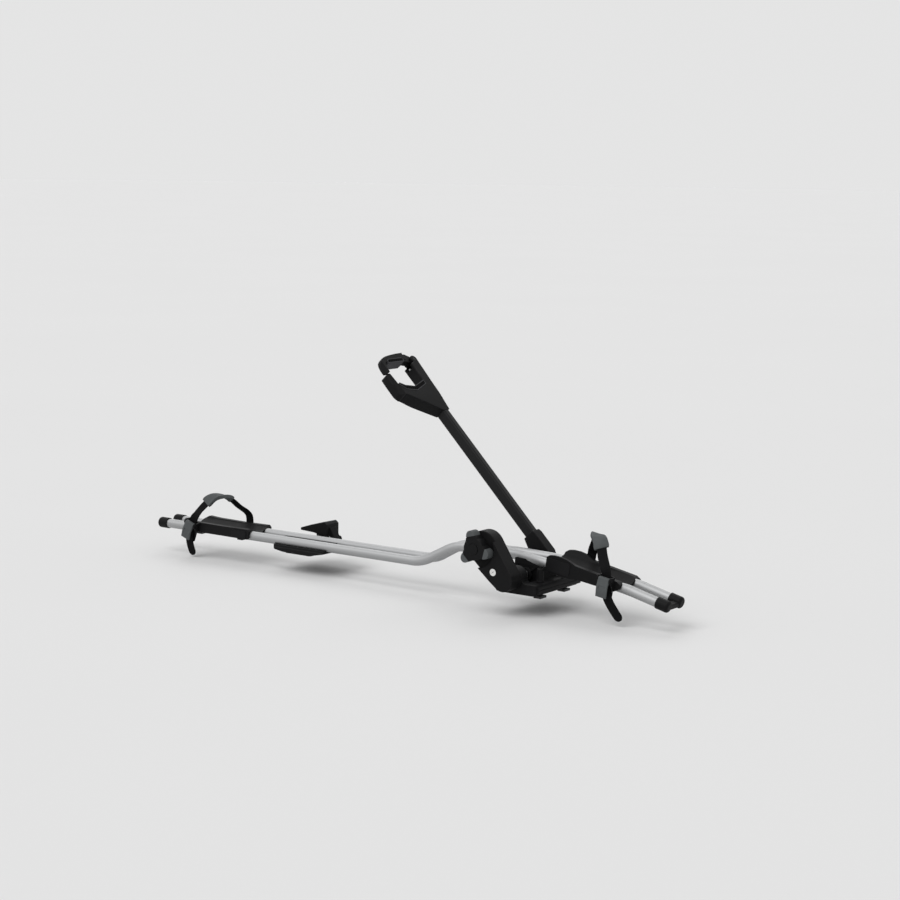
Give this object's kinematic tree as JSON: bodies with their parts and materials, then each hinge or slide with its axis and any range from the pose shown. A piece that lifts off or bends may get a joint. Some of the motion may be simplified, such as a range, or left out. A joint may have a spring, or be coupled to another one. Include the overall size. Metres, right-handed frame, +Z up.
{
  "type": "bicycle roof carrier",
  "caption": "Roof-mounted bicycle carrier: bent tube rails with strapped wheel trays and a fold-up arm whose claw clamps the frame, tightened by a torque-limiting knob.",
  "frame": {"origin": "on the underside of the front base, on top of the front roof bar, midway between the rails", "axes": "+X forward along the rails, +Y to the side the arm stands on, +Z up"},
  "size_m": [1.4503, 0.25, 0.5332],
  "materials": {
    "rail_aluminium": "satin drawn tube",
    "black_plastic": "fine matt grain",
    "black_arm": "matt black coating",
    "grey_plastic": "fine matt grain",
    "grip_rubber": "moulded rubber",
    "strap_rubber": "ridged rubber",
    "steel": "zinc plated",
    "lock_metal": "polished"
  },
  "bodies": {
    "carrier": {"rail_near": "rail_aluminium", "rail_far": "rail_aluminium", "front_end_cap": "black_plastic", "rear_end_caps": "black_plastic", "front_base": "black_plastic", "base_pad": "grip_rubber", "hinge_bushes": "grey_plastic", "front_t_bolts": "steel", "front_nuts": "black_plastic", "rail_screws": "steel", "front_tray": "black_plastic", "front_label": "black_plastic", "front_tray_clips": "black_plastic", "front_tray_screws": "steel", "front_strap": "strap_rubber", "front_rim_pad": "grip_rubber", "front_buckle": "black_plastic", "front_lever_pin": "steel", "front_strap_screw": "steel"},
    "frame_arm": {"hinge_shaft": "steel", "shaft_keys": "steel", "shaft_cap": "steel", "arm_hub": "black_plastic", "arm_tube": "black_arm", "knob_housing": "black_plastic", "housing_cover": "black_plastic", "housing_screws": "steel", "lock_barrel": "lock_metal", "pull_cable": "steel", "claw_body": "black_plastic", "claw_pad": "grip_rubber", "jaw_pin": "steel", "rod_guides": "grey_plastic"},
    "tension_knob": {"torque_knob": "black_plastic", "knob_grips": "grey_plastic", "knob_cap": "black_plastic", "knob_spindle": "steel", "clutch_ring": "grey_plastic", "clutch_spring": "steel", "cable_drum": "grey_plastic"},
    "upper_jaw": {"hook_jaw": "black_plastic", "hook_pad": "grip_rubber"},
    "tension_rod": {"pull_rod": "steel"},
    "lock_plug": {"lock_core": "lock_metal"},
    "front_buckle_lever": {"front_lever": "grey_plastic"},
    "rear_wheel_tray": {"rear_tray": "black_plastic", "rear_label": "black_plastic", "rear_tray_clips": "black_plastic", "rear_strap": "strap_rubber", "rear_rim_pad": "grip_rubber", "rear_buckle": "black_plastic", "rear_lever_pin": "steel", "rear_strap_screw": "steel"},
    "rear_buckle_lever": {"rear_lever": "grey_plastic"},
    "rear_clamp": {"rear_bracket": "black_plastic", "rear_pad": "grip_rubber", "rear_t_bolt": "steel", "rear_cover_pin": "steel"},
    "clamp_hood": {"rear_cover": "black_plastic"},
    "clamp_knob": {"rear_knob": "grey_plastic"}
  },
  "joints": [
    {"name": "arm_fold", "type": "hinge", "parent": "carrier", "child": "frame_arm", "pos_m": [-0.034, 0, 0.035], "axis": [0, 1, 0], "range_deg": [-42, 35]},
    {"name": "knob_turn", "type": "hinge", "parent": "frame_arm", "child": "tension_knob", "pos_m": [-0.09943, -0.128, 0.09828], "axis": [0, 1, 0], "range_deg": [-1800, 0]},
    {"name": "jaw_swing", "type": "hinge", "parent": "frame_arm", "child": "upper_jaw", "pos_m": [-0.43271, 0.068, 0.46065], "axis": [0.7108, 0, 0.7034], "range_deg": [-80.5, 0.5]},
    {"name": "rod_slide", "type": "slide", "parent": "frame_arm", "child": "tension_rod", "axis": [-0.7034, 0, 0.7108], "range_m": [-0.0002, 0.016]},
    {"name": "lock_turn", "type": "hinge", "parent": "frame_arm", "child": "lock_plug", "pos_m": [-0.05612, -0.11, 0.0511], "axis": [0, 1, 0], "range_deg": [0, 90]},
    {"name": "front_lever_swing", "type": "hinge", "parent": "carrier", "child": "front_buckle_lever", "pos_m": [0.17944, -0.057, 0.0553], "axis": [-0.9888, 0, 0.1495], "range_deg": [0, 70]},
    {"name": "rear_tray_slide", "type": "slide", "parent": "carrier", "child": "rear_wheel_tray", "axis": [1, 0, 0], "range_m": [-0.06, 0.02]},
    {"name": "rear_lever_swing", "type": "hinge", "parent": "rear_wheel_tray", "child": "rear_buckle_lever", "pos_m": [-0.99984, -0.057, 0.03941], "axis": [-0.9397, 0, 0.342], "range_deg": [0, 70]},
    {"name": "rear_clamp_slide", "type": "slide", "parent": "carrier", "child": "rear_clamp", "axis": [1, 0, 0], "range_m": [-0.03, 0.16]},
    {"name": "hood_lift", "type": "hinge", "parent": "rear_clamp", "child": "clamp_hood", "pos_m": [-0.655, 0.078, 0.022], "axis": [0, 1, 0], "range_deg": [0, 100]},
    {"name": "clamp_knob_turn", "type": "hinge", "parent": "rear_clamp", "child": "clamp_knob", "pos_m": [-0.693, 0.078, 0.024], "axis": [0, 0, 1], "continuous": true}
  ],
  "couplings": [
    {"joint": "jaw_swing", "follows": "knob_turn", "ratio": 0.0444},
    {"joint": "rod_slide", "follows": "knob_turn", "m_per_rad": -0.000503}
  ]
}
